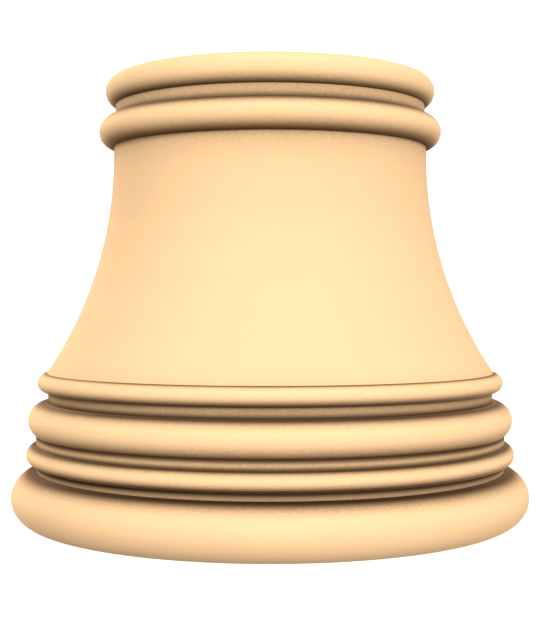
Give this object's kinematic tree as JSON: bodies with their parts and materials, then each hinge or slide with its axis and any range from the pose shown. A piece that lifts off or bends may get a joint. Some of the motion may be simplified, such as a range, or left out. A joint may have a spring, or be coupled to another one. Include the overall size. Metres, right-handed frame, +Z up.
{
  "type": "column base",
  "caption": "Turned stone column base: a tall flaring bell between stacked rolls and beads, with a broad half-round foot and flat top and bottom beds.",
  "frame": {"origin": "middle of the flat underside, on the axis of turning", "axes": "+Z up the axis of turning, from the foot to the top bed; X and Y are any two level directions, because the base is round"},
  "size_m": [0.5, 0.5, 0.4285],
  "materials": {
    "limestone": "fine rubbed cream limestone, matt"
  },
  "bodies": {
    "root": {"column_base": "limestone"}
  },
  "joints": []
}
